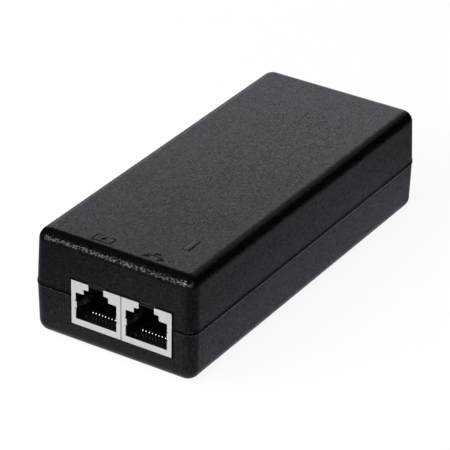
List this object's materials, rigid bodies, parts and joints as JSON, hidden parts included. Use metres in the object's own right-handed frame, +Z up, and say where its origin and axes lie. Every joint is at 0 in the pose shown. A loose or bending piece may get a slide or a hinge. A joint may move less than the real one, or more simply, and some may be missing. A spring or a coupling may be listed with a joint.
{
  "type": "poe injector",
  "caption": "Black two-part moulded box with two shielded modular jacks side by side in one end, a mains inlet in the other and a status window on top.",
  "frame": {"origin": "centre of the underside of the casing", "axes": "+Z up, the two jacks face -Y, the mains inlet faces +Y, +X to the right when looking at the jacks"},
  "size_m": [0.0516, 0.12, 0.0317],
  "materials": {
    "casing": "fine spark-eroded texture, satin",
    "smoked": "smoked, polished",
    "tin": "tin plated, satin",
    "insulator": "moulded black",
    "gold": "gold plated",
    "steel": "zinc plated",
    "board": "green solder mask",
    "brass": "nickel plated brass",
    "inlet": "moulded black",
    "yellow": "yellow film capacitor case",
    "ferrite": "sintered ferrite, dark grey",
    "copper": "enamelled copper wire",
    "aluminium": "rolled",
    "sleeve": "shrink sleeve, dark blue",
    "package": "moulded epoxy package",
    "tape": "yellow polyester tape",
    "blue": "blue dipped ceramic",
    "green": "green dipped ceramic",
    "glass": "clear glass tube with end caps",
    "led": "diffused"
  },
  "bodies": {
    "base": {"bottom_cover": "casing", "cover_screw_1": "steel", "cover_screw_2": "steel", "cover_screw_3": "steel", "cover_screw_4": "steel", "led_lead_1": "steel", "led_lead_2": "steel", "status_led": "led", "circuit_board": "board", "poe_jack_shield": "tin", "poe_jack_insulator": "insulator", "lan_jack_shield": "tin", "lan_jack_insulator": "insulator", "inlet_housing": "inlet", "inlet_pin_neutral": "brass", "inlet_pin_line": "brass", "inlet_pin_earth": "brass", "fuse": "glass", "inrush_thermistor": "green", "x_capacitor": "yellow", "choke_core": "ferrite", "transformer_core": "ferrite", "choke_coil": "copper", "transformer_coil": "tape", "bridge_rectifier": "package", "switching_transistor": "package", "optocoupler": "package", "output_diode": "package", "data_transformer": "package", "power_port_chip": "package", "control_chip": "package", "bulk_capacitor": "sleeve", "output_capacitor_1": "sleeve", "output_capacitor_2": "sleeve", "primary_heatsink": "aluminium", "secondary_heatsink": "aluminium", "y_capacitor": "blue"},
    "cover": {"top_cover": "casing", "status_lens": "smoked"},
    "poe_springs": {"poe_jack_contact_1": "gold", "poe_jack_contact_2": "gold", "poe_jack_contact_3": "gold", "poe_jack_contact_4": "gold", "poe_jack_contact_5": "gold", "poe_jack_contact_6": "gold", "poe_jack_contact_7": "gold", "poe_jack_contact_8": "gold"},
    "poe_finger_left": {"poe_jack_finger_left": "tin"},
    "poe_finger_right": {"poe_jack_finger_right": "tin"},
    "lan_springs": {"lan_jack_contact_1": "gold", "lan_jack_contact_2": "gold", "lan_jack_contact_3": "gold", "lan_jack_contact_4": "gold", "lan_jack_contact_5": "gold", "lan_jack_contact_6": "gold", "lan_jack_contact_7": "gold", "lan_jack_contact_8": "gold"},
    "lan_finger_left": {"lan_jack_finger_left": "tin"},
    "lan_finger_right": {"lan_jack_finger_right": "tin"}
  },
  "joints": [
    {"name": "cover_lift", "type": "slide", "parent": "base", "child": "cover", "axis": [0, 0, 1], "range_m": [0, 0.045]},
    {"name": "poe_springs_flex", "type": "hinge", "parent": "base", "child": "poe_springs", "pos_m": [-0.00492, -0.0561, 0.0084], "axis": [-1, 0, 0], "range_deg": [0, 10]},
    {"name": "poe_finger_left_flex", "type": "hinge", "parent": "base", "child": "poe_finger_left", "pos_m": [-0.01125, -0.0596, 0.01295], "axis": [0, 0, 1], "range_deg": [0, 6]},
    {"name": "poe_finger_right_flex", "type": "hinge", "parent": "base", "child": "poe_finger_right", "pos_m": [0.00141, -0.0596, 0.01295], "axis": [0, 0, -1], "range_deg": [0, 6]},
    {"name": "lan_springs_flex", "type": "hinge", "parent": "base", "child": "lan_springs", "pos_m": [0.01116, -0.0561, 0.0084], "axis": [-1, 0, 0], "range_deg": [0, 10]},
    {"name": "lan_finger_left_flex", "type": "hinge", "parent": "base", "child": "lan_finger_left", "pos_m": [0.00483, -0.0596, 0.01295], "axis": [0, 0, 1], "range_deg": [0, 6]},
    {"name": "lan_finger_right_flex", "type": "hinge", "parent": "base", "child": "lan_finger_right", "pos_m": [0.01749, -0.0596, 0.01295], "axis": [0, 0, -1], "range_deg": [0, 6]}
  ]
}
